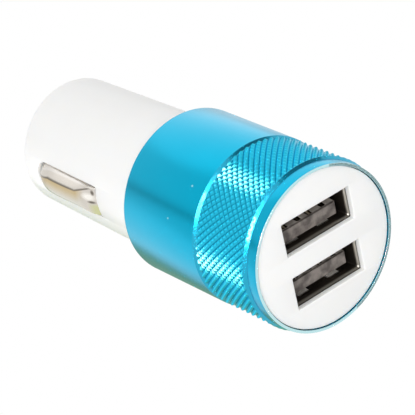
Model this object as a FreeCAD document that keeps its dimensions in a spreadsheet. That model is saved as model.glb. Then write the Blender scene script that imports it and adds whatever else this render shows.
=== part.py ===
import FreeCAD
import Part
import math
import os
from types import SimpleNamespace

import Sketcher

# A car charger with two ports. It stands on the front rim of its head: the origin is the centre of that rim,
# +Z runs along the axis to the plug's tip, +X points at one side contact and +Y from the lower port to the upper.
# Millimetres throughout.

SIZES = {
    # Sleeve, the knurled metal shell round the head
    "sleeve_radius": 12.75,
    "sleeve_length": 30.1,
    "sleeve_wall": 1.2,
    "sleeve_edge": 0.3,
    "bevel_depth": 0.4,
    "bevel_step": 0.02,
    "bezel_height": 1.9,
    "bezel_edge": 0.12,
    "lip_thickness": 0.43,
    "knurl_length": 10.6,
    "knurl_depth": 0.32,
    "knurl_fade": 0.3,
    "knurl_count": 70,
    "knurl_rows": 18,
    "undercut_width": 0.3,
    # Face plate in the sleeve's mouth
    "plate_gap": 0.12,
    "plate_inset": 0.25,
    "plate_thickness": 1.6,
    "plate_edge": 0.2,
    "port_width": 12.4,
    "port_height": 5.15,
    "port_pitch": 8.6,
    "port_rim": 0.85,
    "port_edge": 0.15,
    "lug_width": 4.0,
    "lug_thickness": 0.8,
    "lug_length": 2.5,
    # Barrel, the moulded plug housing
    "head_clearance": 0.05,
    "head_wall": 1.2,
    "ledge_width": 0.7,
    "shoulder_inset": 0.5,
    "shoulder_width": 2.0,
    "neck_wall": 1.4,
    "plug_length": 30.15,
    "plug_tip_radius": 10.2,
    "plug_wall": 1.2,
    "plug_edge": 0.6,
    "end_wall": 2.2,
    "rail_width": 3.2,
    "rail_thickness": 1.0,
    "rail_clearance": 0.1,
    "slot_width": 5.3,
    "slot_length": 16.25,
    "slot_end_inset": 3.75,
    "slot_corner": 2.6,
    # Side contacts, stamped channels that bulge out of the slots
    "contact_width": 5.0,
    "contact_sheet": 0.35,
    "contact_start_gap": 0.2,
    "contact_end_gap": 0.35,
    "contact_bulge": 1.5,
    "contact_sink": 0.9,
    "ear_width": 0.7,
    "ear_length": 4.0,
    "ear_gap": 0.3,
    "tail_width": 3.6,
    "tail_reach": 3.2,
    "foot_gap": 0.12,
    # Tip contact, its spring and the cup that carries the spring
    "pin_radius": 3.5,
    "pin_clearance": 0.1,
    "pin_reach": 3.5,
    "pin_edge": 2.2,
    "stop_gap": 0.05,
    "flange_radius": 5.0,
    "flange_thickness": 1.0,
    "stub_radius": 2.2,
    "stub_length": 1.5,
    "spring_radius": 2.95,
    "spring_wire": 0.5,
    "spring_length": 6.3,
    "spring_turns": 5,
    "seat_gap": 0.05,
    "cup_radius": 3.9,
    "cup_wall": 0.4,
    "cup_floor": 0.8,
    "cup_depth": 1.5,
    "stem_radius": 2.6,
    "stem_length": 3.0,
    # Boards
    "board_thickness": 1.2,
    "board_width": 14.0,
    "tab_width": 3.0,
    "tab_spacing": 8.0,
    "tab_clearance": 0.05,
    "port_board_clearance": 0.1,
    "pin_length": 0.5,
    # USB sockets
    "socket_length": 13.5,
    "shell_sheet": 0.3,
    "shell_width": 12.5,
    "shell_height": 5.12,
    "shell_corner": 0.5,
    "shell_lead_in": 0.2,
    "seat_clearance": 0.05,
    "leg_width": 1.6,
    "finger_width": 1.9,
    "finger_spacing": 5.7,
    "finger_start": 2.1,
    "finger_length": 5.1,
    "finger_rise": 0.5,
    "finger_crown": 0.4,
    "finger_play": 0.2,
    "base_thickness": 1.7,
    "tongue_side_gap": 1.05,
    "tongue_thickness": 1.84,
    "tongue_setback": 1.5,
    "tongue_gap": 0.65,
    "tongue_rise": 0.4,
    "tongue_edge": 0.25,
    "groove_depth": 0.5,
    "groove_lip": 0.5,
    "strip_width": 0.9,
    "strip_sheet": 0.25,
    "strip_play": 0.05,
    "strip_bulge": 0.55,
    "inner_pitch": 2.0,
    "outer_pitch": 7.0,
    # Parts on the main board
    "can_radius": 3.15,
    "can_height": 4.9,
    "can_neck": 0.25,
    "can_base": 6.6,
    "can_base_thickness": 0.9,
    "can_base_corner": 1.2,
    "coil_radius": 4.0,
    "coil_height": 4.6,
    "coil_flange": 0.8,
    "coil_spool": 1.8,
    "winding_radius": 3.5,
    "chip_width": 3.9,
    "chip_length": 4.9,
    "chip_height": 1.45,
    "chip_standoff": 0.12,
    "lead_width": 0.4,
    "lead_pitch": 1.27,
    "lead_reach": 1.05,
    "lead_sheet": 0.2,
    "diode_length": 4.3,
    "diode_width": 2.6,
    "diode_height": 2.1,
    "ceramic_length": 3.2,
    "ceramic_width": 1.6,
    "ceramic_height": 1.2,
    "resistor_length": 2.0,
    "resistor_width": 1.25,
    "resistor_height": 0.5,
    "end_cap": 0.35,
    "end_cap_proud": 0.03,
    "first_part_gap": 2.68,
    "last_part_gap": 3.42,
}

doc = FreeCAD.newDocument("UsbCarCharger")
sheet = doc.addObject("Spreadsheet::Sheet", "Sizes")
for row, (alias, value) in enumerate(SIZES.items(), start=1):
    sheet.set(f"A{row}", alias)
    sheet.set(f"B{row}", str(value))
    sheet.setAlias(f"B{row}", alias)
doc.recompute()


class Size:
    """A length or count with its number and the spreadsheet expression that gives it."""

    def __init__(self, number, text):
        self.number = number
        self.text = text

    def __add__(self, other):
        other = as_size(other)
        return Size(self.number + other.number, f"({self.text} + {other.text})")

    def __sub__(self, other):
        other = as_size(other)
        return Size(self.number - other.number, f"({self.text} - {other.text})")

    def __mul__(self, other):
        other = as_size(other)
        return Size(self.number * other.number, f"({self.text} * {other.text})")

    def __truediv__(self, other):
        other = as_size(other)
        return Size(self.number / other.number, f"({self.text} / {other.text})")

    def __neg__(self):
        return Size(-self.number, f"(-{self.text})")


def as_size(value):
    if isinstance(value, Size):
        return value
    return Size(float(value), repr(float(value)))


s = SimpleNamespace(**{alias: Size(float(sheet.get(alias)), f"Sizes.{alias}") for alias in SIZES})

# Places along the axis, from the rim to the tip
plate_back = s.plate_inset + s.plate_thickness
socket_front = s.plate_inset + s.port_rim
socket_back = socket_front + s.socket_length
port_board_back = socket_back + s.board_thickness
head_end = s.sleeve_length - s.shoulder_inset
plug_end = s.sleeve_length + s.plug_length
plug_ceiling = plug_end - s.end_wall
slot_end = plug_end - s.slot_end_inset
slot_start = slot_end - s.slot_length
flange_front = plug_ceiling - s.stop_gap
flange_back = flange_front - s.flange_thickness
cup_floor_top = flange_back - s.spring_length
cup_floor_bottom = cup_floor_top - s.cup_floor
board_end = cup_floor_bottom - s.seat_gap
stem_start = cup_floor_bottom - s.stem_length
foot_end = slot_start - s.tail_reach

# Radii, from the sleeve inwards
sleeve_bore = s.sleeve_radius - s.sleeve_wall
bezel_radius = s.sleeve_radius - s.bevel_depth
mouth_radius = bezel_radius - s.lip_thickness
plate_radius = mouth_radius - s.plate_gap
head_radius = sleeve_bore - s.head_clearance
head_bore = head_radius - s.head_wall
middle_bore = head_bore - s.ledge_width
plug_root_radius = s.sleeve_radius - s.shoulder_width
plug_bore = s.plug_tip_radius - s.plug_wall
port_board_radius = head_bore - s.port_board_clearance

half_board = s.board_thickness / 2
board_edge = s.board_width / 2
tongue_width = s.shell_width - s.tongue_side_gap * 2
tongue_bottom = s.tongue_gap - s.shell_height / 2
tongue_top = tongue_bottom + s.tongue_thickness
contact_places = (-s.outer_pitch / 2, -s.inner_pitch / 2, s.inner_pitch / 2, s.outer_pitch / 2)

pieces = []


# Drawing and shaping


def new_body(label):
    body = doc.addObject("PartDesign::Body", label)
    body.Label = label
    pieces.append(body)
    return body


def place(piece, x=0, y=0, z=0, axis=(0, 0, 1), angle=0):
    """Puts a piece at a place given by sizes, turned about an axis through its own origin."""
    piece.Placement = FreeCAD.Placement(FreeCAD.Vector(), FreeCAD.Rotation(FreeCAD.Vector(*axis), angle))
    for letter, value in zip("xyz", (x, y, z)):
        piece.setExpression(f"Placement.Base.{letter}", as_size(value).text)


def rectangle(left, bottom, right, top):
    return [(left, bottom), (right, bottom), (right, top), (left, top)]


def block(width, height):
    """A rectangle centred on the sketch's origin."""
    return rectangle(-width / 2, -height / 2, width / 2, height / 2)


def bind(sketch, kind, first, position, value):
    """Ties one coordinate of a point, from the sketch's origin, to a size."""
    value = as_size(value)
    index = sketch.addConstraint(Sketcher.Constraint(kind, -1, 1, first, position, value.number))
    sketch.setExpression(f"Constraints[{index}]", value.text)


def new_sketch(body, name, plane, offset):
    sketch = body.newObject("Sketcher::SketchObject", name)
    support = next(part for part in body.Origin.OriginFeatures if part.Role == plane)
    sketch.AttachmentSupport = [(support, "")]
    sketch.MapMode = "FlatFace"
    sketch.setExpression("AttachmentOffset.Base.z", as_size(offset).text)
    return sketch


def draw(body, name, plane, loops, offset=0):
    """A sketch of closed loops of straight lines, every corner tied to its two sizes."""
    sketch = new_sketch(body, name, plane, offset)
    for corners in loops:
        points = [FreeCAD.Vector(as_size(u).number, as_size(v).number, 0) for u, v in corners]
        ends = points[1:] + points[:1]
        lines = [sketch.addGeometry(Part.LineSegment(a, b), False) for a, b in zip(points, ends)]
        for line, following in zip(lines, lines[1:] + lines[:1]):
            sketch.addConstraint(Sketcher.Constraint("Coincident", line, 2, following, 1))
        for line, (u, v) in zip(lines, corners):
            bind(sketch, "DistanceX", line, 1, u)
            bind(sketch, "DistanceY", line, 1, v)
    return sketch


def draw_circle(body, name, plane, radius, offset=0, centre=(0, 0)):
    sketch = new_sketch(body, name, plane, offset)
    radius = as_size(radius)
    middle = FreeCAD.Vector(as_size(centre[0]).number, as_size(centre[1]).number, 0)
    circle = sketch.addGeometry(Part.Circle(middle, FreeCAD.Vector(0, 0, 1), radius.number), False)
    bind(sketch, "DistanceX", circle, 3, centre[0])
    bind(sketch, "DistanceY", circle, 3, centre[1])
    index = sketch.addConstraint(Sketcher.Constraint("Radius", circle, radius.number))
    sketch.setExpression(f"Constraints[{index}]", radius.text)
    return sketch


def grow(kind, body, name, sketch, length, side="One side", reverse=False):
    """A pad or a pocket of a sketch, checked to have added or removed material."""
    before = body.Shape.Volume if body.Tip else 0.0
    feature = body.newObject(f"PartDesign::{kind}", name)
    feature.Profile = sketch
    feature.SideType = side
    feature.Reversed = reverse
    feature.setExpression("Length", as_size(length).text)
    sketch.Visibility = False
    doc.recompute()
    change = body.Shape.Volume - before
    if change * (1 if kind == "Pad" else -1) <= 0:
        raise ValueError(f"{name} changes nothing")
    return feature


def taper(body, name, sketch, narrower):
    """A hole that narrows from one sketch to another."""
    feature = body.newObject("PartDesign::SubtractiveLoft", name)
    feature.Profile = sketch
    feature.Sections = [narrower]
    sketch.Visibility = False
    narrower.Visibility = False
    doc.recompute()
    return feature


def revolve(body, name, sketch):
    feature = body.newObject("PartDesign::Revolution", name)
    feature.Profile = sketch
    feature.ReferenceAxis = (sketch, ["V_Axis"])
    feature.Angle = 360
    sketch.Visibility = False
    doc.recompute()
    return feature


def turned(label, profile):
    """A body turned about the Z axis from a closed outline of (radius, height) corners."""
    body = new_body(label)
    revolve(body, f"{label}_turning", draw(body, f"{label}_profile", "XZ_Plane", [profile]))
    return body


def dress(kind, body, name, size, chosen):
    """A fillet or a chamfer on the edges of the body's tip that a test picks out."""
    base = body.Tip
    names = [f"Edge{number}" for number, edge in enumerate(base.Shape.Edges, start=1) if chosen(edge)]
    if not names:
        raise ValueError(f"{name} finds no edge")
    feature = body.newObject(f"PartDesign::{kind}", name)
    feature.Base = (base, names)
    feature.setExpression("Radius" if kind == "Fillet" else "Size", as_size(size).text)
    doc.recompute()
    return feature


def repeat(kind, body, name, originals, **settings):
    """A pattern of earlier features, which becomes the body's tip."""
    feature = body.newObject(f"PartDesign::{kind}", name)
    feature.Originals = originals
    for key, value in settings.items():
        setattr(feature, key, value)
    body.Tip = feature
    doc.recompute()
    return feature


def origin_part(body, role):
    return next(part for part in body.Origin.OriginFeatures if part.Role == role)


def near(a, b):
    return abs(a - b) < 1e-4


def is_circle_at(edge, radius, height):
    curve = edge.Curve
    return isinstance(curve, Part.Circle) and near(curve.Radius, radius) and near(curve.Center.z, height)


def runs_along(edge, direction):
    """True for a straight edge parallel to a direction."""
    if not isinstance(edge.Curve, (Part.Line, Part.LineSegment)):
        return False
    return near(abs(edge.tangentAt(edge.FirstParameter).dot(FreeCAD.Vector(*direction))), 1)


# Sleeve: turned aluminium, with a knurled band of small pyramids between two bevels that face the front


def knurl_point(row, column):
    """A corner of the knurl: crests and the crossings of the grooves take turns round and along the band."""
    around = 2 * int(s.knurl_count.number)
    rows = int(s.knurl_rows.number)
    angle = math.pi * 2 / around * (column % around)
    crest = (row + column) % 2 == 0
    depth = 0 if crest else s.knurl_depth.number
    height = knurl_start.number + s.knurl_length.number * row / rows
    if row == 0:
        # The grooves grow shallow at the band's front edge and notch the bevel, which is cut at 45 degrees
        depth *= s.knurl_fade.number
        height -= depth
    radius = s.sleeve_radius.number - depth
    return FreeCAD.Vector(radius * math.cos(angle), radius * math.sin(angle), height)


def triangle(a, b, c):
    return Part.Face(Part.makePolygon([a, b, c, a]))


def ring_face(corners, radius, height):
    """A flat face between a many-sided edge and a circle inside it."""
    circle = Part.Wire(Part.makeCircle(radius, FreeCAD.Vector(0, 0, height)))
    return Part.makeFace([Part.makePolygon(corners + corners[:1]), circle], "Part::FaceMakerBullseye")


bevel_foot = bezel_radius + s.bevel_step
knurl_start = s.bezel_height + s.sleeve_radius - bevel_foot
knurl_end = knurl_start + s.knurl_length


def make_sleeve():
    columns = range(2 * int(s.knurl_count.number))
    rows = int(s.knurl_rows.number)
    faces = []
    for row in range(rows):
        for column in columns:
            a, b = knurl_point(row, column), knurl_point(row, column + 1)
            c, d = knurl_point(row + 1, column + 1), knurl_point(row + 1, column)
            if (row + column) % 2 == 0:
                faces += [triangle(a, b, d), triangle(b, c, d)]
            else:
                faces += [triangle(a, b, c), triangle(a, c, d)]

    foot = []
    for column in columns:
        angle = math.pi * column / s.knurl_count.number
        foot_radius = bevel_foot.number
        foot.append(
            FreeCAD.Vector(foot_radius * math.cos(angle), foot_radius * math.sin(angle), s.bezel_height.number)
        )
    for column in columns:
        a, b = foot[column], foot[(column + 1) % len(foot)]
        c, d = knurl_point(0, column + 1), knurl_point(0, column)
        faces += [triangle(a, b, c), triangle(a, c, d)]
    faces.append(ring_face(foot, bezel_radius.number, s.bezel_height.number))

    undercut = bevel_foot.number
    faces.append(ring_face([knurl_point(rows, column) for column in columns], undercut, knurl_end.number))

    def at(radius, height):
        return FreeCAD.Vector(as_size(radius).number, 0, as_size(height).number)

    bevel_start = knurl_end + s.undercut_width
    bevel_end = bevel_start + s.sleeve_radius - bevel_foot
    soft = 1 - math.sqrt(0.5)
    outline = Part.Wire(
        [
            Part.makeLine(at(bevel_foot, knurl_end), at(bevel_foot, bevel_start)),
            Part.makeLine(at(bevel_foot, bevel_start), at(s.sleeve_radius, bevel_end)),
            Part.makeLine(at(s.sleeve_radius, bevel_end), at(s.sleeve_radius, s.sleeve_length - s.sleeve_edge)),
            Part.Arc(
                at(s.sleeve_radius, s.sleeve_length - s.sleeve_edge),
                at(s.sleeve_radius - s.sleeve_edge * soft, s.sleeve_length - s.sleeve_edge * soft),
                at(s.sleeve_radius - s.sleeve_edge, s.sleeve_length),
            ).toShape(),
            Part.makeLine(at(s.sleeve_radius - s.sleeve_edge, s.sleeve_length), at(sleeve_bore, s.sleeve_length)),
            Part.makeLine(at(sleeve_bore, s.sleeve_length), at(sleeve_bore, plate_back)),
            Part.makeLine(at(sleeve_bore, plate_back), at(mouth_radius, plate_back)),
            Part.makeLine(at(mouth_radius, plate_back), at(mouth_radius, 0)),
            Part.makeLine(at(mouth_radius, 0), at(bezel_radius - s.bezel_edge, 0)),
            Part.Arc(
                at(bezel_radius - s.bezel_edge, 0),
                at(bezel_radius - s.bezel_edge * soft, s.bezel_edge * soft),
                at(bezel_radius, s.bezel_edge),
            ).toShape(),
            Part.makeLine(at(bezel_radius, s.bezel_edge), at(bezel_radius, s.bezel_height)),
        ]
    )
    faces += outline.revolve(FreeCAD.Vector(), FreeCAD.Vector(0, 0, 1), 360).Faces
    skin = Part.makeCompound(faces)
    skin.sewShape()
    solid = Part.Solid(skin)
    sleeve = doc.addObject("Part::Feature", "sleeve")
    sleeve.Label = "sleeve"
    sleeve.Shape = solid
    sleeve.Placement = FreeCAD.Placement()
    pieces.append(sleeve)


# Face plate: a moulded disc with an opening for each port, a seat behind each for its shell, and two lugs


def make_face_plate():
    body = new_body("face_plate")
    disc = draw_circle(body, "plate_outline", "XY_Plane", plate_radius, s.plate_inset)
    grow("Pad", body, "plate", disc, s.plate_thickness)

    def ports(width, height):
        """One rectangle for each port, above and below the axis."""
        middle = s.port_pitch / 2
        return [
            rectangle(-width / 2, centre - height / 2, width / 2, centre + height / 2)
            for centre in (middle, -middle)
        ]

    openings = draw(body, "openings_outline", "XY_Plane", ports(s.port_width, s.port_height), plate_back)
    grow("Pocket", body, "openings", openings, s.plate_thickness * 2)
    shell_room = s.shell_sheet * 2 + s.seat_clearance * 2
    seats = draw(
        body,
        "seats_outline",
        "XY_Plane",
        ports(s.shell_width + shell_room, s.shell_height + shell_room),
        plate_back,
    )
    grow("Pocket", body, "seats", seats, plate_back - socket_front)
    lug_outer = head_bore - s.lug_thickness * 3 / 8
    lugs = [
        rectangle(lug_outer - s.lug_thickness, -s.lug_width / 2, lug_outer, s.lug_width / 2),
        rectangle(-lug_outer, -s.lug_width / 2, s.lug_thickness - lug_outer, s.lug_width / 2),
    ]
    grow("Pad", body, "lugs", draw(body, "lugs_outline", "XY_Plane", lugs, plate_back), s.lug_length)
    front = s.plate_inset.number
    dress("Fillet", body, "rim_edge", s.plate_edge, lambda edge: is_circle_at(edge, plate_radius.number, front))
    dress(
        "Fillet",
        body,
        "opening_edges",
        s.port_edge,
        lambda edge: near(edge.BoundBox.ZMin, front) and near(edge.BoundBox.ZMax, front)
        and not isinstance(edge.Curve, Part.Circle),
    )


# Barrel: one moulding, a wide head inside the sleeve and a tapered plug with a slot for each side contact


def make_barrel():
    hole = s.pin_radius + s.pin_clearance
    neck = head_end - s.neck_wall
    body = turned(
        "barrel",
        [
            (head_bore, plate_back),
            (head_radius, plate_back),
            (head_radius, head_end),
            (plug_root_radius, head_end),
            (s.plug_tip_radius, plug_end),
            (hole, plug_end),
            (hole, plug_ceiling),
            (plug_bore, plug_ceiling),
            (plug_bore, neck),
            (middle_bore, neck),
            (middle_bore, port_board_back),
            (head_bore, port_board_back),
        ],
    )
    near_side = half_board + s.rail_clearance
    far_side = near_side + s.rail_thickness
    rail_root = board_edge + s.rail_width - s.rail_thickness / 2
    rails = []
    for left, right in ((rail_root - s.rail_width, rail_root), (-rail_root, s.rail_width - rail_root)):
        rails.append(rectangle(left, near_side, right, far_side))
        rails.append(rectangle(left, -far_side, right, -near_side))
    rail_start = port_board_back + s.rail_thickness
    rail_end = foot_end - s.rail_thickness
    grow(
        "Pad",
        body,
        "board_rails",
        draw(body, "rails_outline", "XY_Plane", rails, rail_start),
        rail_end - rail_start,
    )
    slot = rectangle(-s.slot_width / 2, slot_start, s.slot_width / 2, slot_end)
    slots = draw(body, "slots_outline", "YZ_Plane", [slot])
    grow("Pocket", body, "contact_slots", slots, s.sleeve_radius * 2, side="Symmetric")
    dress(
        "Fillet",
        body,
        "slot_ends",
        s.slot_corner,
        lambda edge: runs_along(edge, (1, 0, 0)) and near(edge.BoundBox.ZMax, slot_end.number),
    )
    dress(
        "Fillet",
        body,
        "plug_rim",
        s.plug_edge,
        lambda edge: is_circle_at(edge, s.plug_tip_radius.number, plug_end.number),
    )


# Side contacts: one stamping, lofted along the slot as a hollow hull, with retaining ears and a bent tail


def make_side_contact(label, turn):
    sheet_size = s.contact_sheet.number
    start = (slot_start + s.contact_start_gap).number
    length = (slot_end - s.contact_end_gap).number - start
    half_width = s.contact_width.number / 2
    surface = s.plug_tip_radius.number
    bulge = s.contact_bulge.number
    base = surface - s.contact_sink.number

    # Along the hull as shares of its length, its bulge and its half width: place, crest, crest's half width, foot's
    stations = (
        (0.00, 0.08, 0.92, 1.00),
        (0.05, 0.28, 0.92, 1.00),
        (0.10, 0.45, 0.88, 1.00),
        (0.16, 0.62, 0.77, 1.00),
        (0.23, 0.81, 0.61, 1.00),
        (0.33, 0.93, 0.53, 1.00),
        (0.52, 1.00, 0.52, 1.00),
        (0.70, 0.95, 0.51, 1.00),
        (0.79, 0.86, 0.47, 1.00),
        (0.86, 0.68, 0.38, 0.96),
        (0.92, 0.46, 0.29, 0.84),
        (0.96, 0.24, 0.21, 0.66),
        (1.00, 0.02, 0.08, 0.22),
    )

    def hull(inset):
        """A solid hull, drawn in by the thickness of the sheet for the hollow."""
        foot_depth = base - inset
        wires = []
        for along, crest, crest_share, foot_share in stations:
            height = surface + bulge * crest - inset
            crest_half = half_width * crest_share - inset / 2
            foot_half = half_width * foot_share - inset
            place_along = start + inset + (length - 2 * inset) * along
            wires.append(
                Part.makePolygon(
                    [
                        FreeCAD.Vector(foot_depth, -foot_half, place_along),
                        FreeCAD.Vector(height, -crest_half, place_along),
                        FreeCAD.Vector(height, crest_half, place_along),
                        FreeCAD.Vector(foot_depth, foot_half, place_along),
                        FreeCAD.Vector(foot_depth, -foot_half, place_along),
                    ]
                )
            )
        return Part.makeLoft(wires, True, False)

    channel = hull(0).cut(hull(sheet_size))

    ear_top = math.sqrt(plug_bore.number**2 - (half_width + s.ear_width.number) ** 2) - s.ear_gap.number
    ear_middle = start + length * 0.68
    ear_start = ear_middle - s.ear_length.number / 2
    solid = channel
    for side in (1, -1):
        wall = Part.makeBox(
            base + sheet_size - ear_top + sheet_size,
            sheet_size,
            s.ear_length.number,
            FreeCAD.Vector(ear_top - sheet_size, half_width - sheet_size if side > 0 else -half_width, ear_start),
        )
        ear = Part.makeBox(
            sheet_size,
            s.ear_width.number + sheet_size,
            s.ear_length.number,
            FreeCAD.Vector(
                ear_top - sheet_size,
                half_width - sheet_size if side > 0 else -half_width - s.ear_width.number,
                ear_start,
            ),
        )
        solid = solid.fuse([wall, ear])

    half_tail = s.tail_width.number / 2
    foot_face = board_edge.number + s.foot_gap.number
    foot_back = foot_face + sheet_size
    bend = foot_end.number + s.tail_reach.number / 2
    inside_wall = plug_bore.number - sheet_size
    tail_corners = [
        (base + sheet_size, start),
        (inside_wall, start),
        (foot_back + sheet_size / 2, bend),
        (foot_back, foot_end.number),
        (foot_face, foot_end.number),
        (foot_face + sheet_size / 4, bend + sheet_size / 2),
        (inside_wall - sheet_size, start + sheet_size),
        (base + sheet_size, start + sheet_size),
    ]
    corners = [FreeCAD.Vector(x, -half_tail, z) for x, z in tail_corners]
    tail = Part.Face(Part.makePolygon(corners + corners[:1])).extrude(FreeCAD.Vector(0, 2 * half_tail, 0))
    solid = solid.fuse(tail).removeSplitter()

    contact = doc.addObject("Part::Feature", label)
    contact.Label = label
    contact.Shape = solid
    contact.Placement = FreeCAD.Placement(FreeCAD.Vector(), FreeCAD.Rotation(FreeCAD.Vector(0, 0, 1), turn))
    pieces.append(contact)


# Tip contact, spring and cup: the plug's positive pole


def make_tip():
    pin_end = plug_end + s.pin_reach
    stub_end = flange_back - s.stub_length
    pin = turned(
        "tip_contact",
        [
            (0, stub_end),
            (s.stub_radius, stub_end),
            (s.stub_radius, flange_back),
            (s.flange_radius, flange_back),
            (s.flange_radius, flange_front),
            (s.pin_radius, flange_front),
            (s.pin_radius, pin_end),
            (0, pin_end),
        ],
    )
    dress(
        "Fillet",
        pin,
        "pin_nose",
        s.pin_edge,
        lambda edge: is_circle_at(edge, s.pin_radius.number, pin_end.number),
    )

    spring = new_body("tip_spring")
    half_wire = s.spring_wire / 2
    wire = draw_circle(
        spring,
        "spring_wire",
        "XZ_Plane",
        half_wire - s.seat_gap / 2,
        centre=(s.spring_radius, cup_floor_top + half_wire),
    )
    coil = spring.newObject("PartDesign::AdditiveHelix", "spring_coil")
    coil.Profile = wire
    coil.ReferenceAxis = (wire, ["V_Axis"])
    coil.Mode = "height-turns-growth"
    coil.setExpression("Height", (s.spring_length - s.spring_wire).text)
    coil.setExpression("Turns", s.spring_turns.text)
    coil.Growth = 0
    doc.recompute()

    cup_top = cup_floor_top + s.cup_depth
    seat = turned(
        "spring_seat",
        [
            (0, stem_start),
            (s.stem_radius, stem_start),
            (s.stem_radius, cup_floor_bottom),
            (s.cup_radius, cup_floor_bottom),
            (s.cup_radius, cup_top),
            (s.cup_radius - s.cup_wall, cup_top),
            (s.cup_radius - s.cup_wall, cup_floor_top),
            (0, cup_floor_top),
        ],
    )
    fork = half_board + s.seat_gap
    fork_slot = rectangle(-fork, stem_start - s.stem_length, fork, cup_floor_bottom)
    fork_outline = draw(seat, "fork_outline", "YZ_Plane", [fork_slot])
    grow("Pocket", seat, "board_fork", fork_outline, s.stem_radius * 4, side="Symmetric")


# Boards: the main board along the axis, tabbed into the round board behind the sockets


def tab_outlines(clearance):
    half = s.tab_width / 2 + clearance
    middle = s.tab_spacing / 2
    return [(middle - half, middle + half), (-middle - half, half - middle)]


def make_boards():
    main = new_body("main_board")
    (left, right), (far_left, far_right) = tab_outlines(0)
    outline = [
        (-board_edge, port_board_back),
        (far_left, port_board_back),
        (far_left, socket_back),
        (far_right, socket_back),
        (far_right, port_board_back),
        (left, port_board_back),
        (left, socket_back),
        (right, socket_back),
        (right, port_board_back),
        (board_edge, port_board_back),
        (board_edge, board_end),
        (-board_edge, board_end),
    ]
    sketch = draw(main, "main_board_outline", "XZ_Plane", [outline])
    grow("Pad", main, "main_board_sheet", sketch, s.board_thickness, side="Symmetric")

    port = new_body("port_board")
    disc = draw_circle(port, "port_board_outline", "XY_Plane", port_board_radius, socket_back)
    grow("Pad", port, "port_board_sheet", disc, s.board_thickness)
    holes = []
    slot_half = half_board + s.tab_clearance
    for low, high in tab_outlines(s.tab_clearance):
        holes.append(rectangle(low, -slot_half, high, slot_half))
    hole_gap = s.tab_clearance
    strip_bottom = tongue_top - s.groove_depth + s.strip_play
    leg_inner = s.shell_width / 2
    leg_outer = leg_inner + s.shell_sheet
    for middle, rise in ((s.port_pitch / 2, 0), (-s.port_pitch / 2, s.tongue_rise)):
        strip_low = middle + strip_bottom + rise - hole_gap
        strip_high = strip_low + s.strip_sheet + hole_gap * 2
        for centre in contact_places:
            half = s.strip_width / 2 + hole_gap
            holes.append(rectangle(centre - half, strip_low, centre + half, strip_high))
        leg_half = s.leg_width / 2 + hole_gap
        holes.append(
            rectangle(leg_inner - hole_gap, middle - leg_half, leg_outer + hole_gap, middle + leg_half)
        )
        holes.append(
            rectangle(-leg_outer - hole_gap, middle - leg_half, hole_gap - leg_inner, middle + leg_half)
        )
    pattern = draw(port, "holes_outline", "XY_Plane", holes, port_board_back)
    grow("Pocket", port, "port_board_holes", pattern, s.board_thickness * 2)


# USB sockets: a folded shell with spring fingers, an insulator with its tongue, and four sprung contacts


def make_shell(label, centre):
    body = new_body(label)
    outer_width = s.shell_width + s.shell_sheet * 2
    outer_height = s.shell_height + s.shell_sheet * 2
    tube = draw(
        body,
        f"{label}_section",
        "XY_Plane",
        [block(outer_width, outer_height), block(s.shell_width, s.shell_height)],
        socket_front,
    )
    grow("Pad", body, f"{label}_tube", tube, s.socket_length)
    dress(
        "Fillet",
        body,
        f"{label}_folds",
        s.shell_corner,
        lambda edge: runs_along(edge, (0, 0, 1)) and near(edge.BoundBox.XLength, 0)
        and near(abs(edge.CenterOfMass.x), outer_width.number / 2),
    )
    flare = s.shell_lead_in * 2
    mouth = draw(
        body,
        f"{label}_mouth_outline",
        "XY_Plane",
        [block(s.shell_width + flare, s.shell_height + flare)],
        socket_front,
    )
    throat = draw(
        body,
        f"{label}_throat_outline",
        "XY_Plane",
        [block(s.shell_width, s.shell_height)],
        socket_front + flare,
    )
    taper(body, f"{label}_lead_in", mouth, throat)
    leg_inner = s.shell_width / 2
    leg_outer = leg_inner + s.shell_sheet
    legs = [
        rectangle(leg_inner, -s.leg_width / 2, leg_outer, s.leg_width / 2),
        rectangle(-leg_outer, -s.leg_width / 2, -leg_inner, s.leg_width / 2),
    ]
    leg_sketch = draw(body, f"{label}_legs_outline", "XY_Plane", legs, socket_back)
    grow("Pad", body, f"{label}_legs", leg_sketch, s.board_thickness + s.pin_length)

    root = socket_front + s.finger_start
    end = root + s.finger_length
    half_window = s.finger_width / 2 + s.finger_play
    half_spacing = s.finger_spacing / 2
    windows = [
        rectangle(middle - half_window, root, middle + half_window, end + s.finger_play)
        for middle in (half_spacing, -half_spacing)
    ]
    window_sketch = draw(body, f"{label}_windows_outline", "XZ_Plane", windows)
    grow("Pocket", body, f"{label}_windows", window_sketch, outer_height * 2, side="Symmetric")
    inner = s.shell_height / 2
    outer = inner + s.shell_sheet
    crown = root + s.finger_length * s.finger_crown
    finger = [
        (outer, root - s.shell_sheet),
        (inner, root - s.shell_sheet),
        (inner - s.finger_rise, crown),
        (inner - s.finger_rise / 4, end),
        (inner + s.shell_sheet - s.finger_rise / 4, end),
        (inner + s.shell_sheet - s.finger_rise, crown),
    ]
    finger_sketch = draw(
        body,
        f"{label}_finger_profile",
        "YZ_Plane",
        [finger],
        half_spacing,
    )
    first = grow("Pad", body, f"{label}_finger", finger_sketch, s.finger_width, side="Symmetric")
    across = (origin_part(body, "YZ_Plane"), [""])
    repeat("Mirrored", body, f"{label}_finger_pair", [first], MirrorPlane=across)
    opposite_sketch = draw(
        body,
        f"{label}_opposite_profile",
        "YZ_Plane",
        [[(-u, v) for u, v in finger]],
        half_spacing,
    )
    second = grow("Pad", body, f"{label}_opposite", opposite_sketch, s.finger_width, side="Symmetric")
    repeat("Mirrored", body, f"{label}_opposite_pair", [second], MirrorPlane=across)
    place(body, y=centre)


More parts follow.
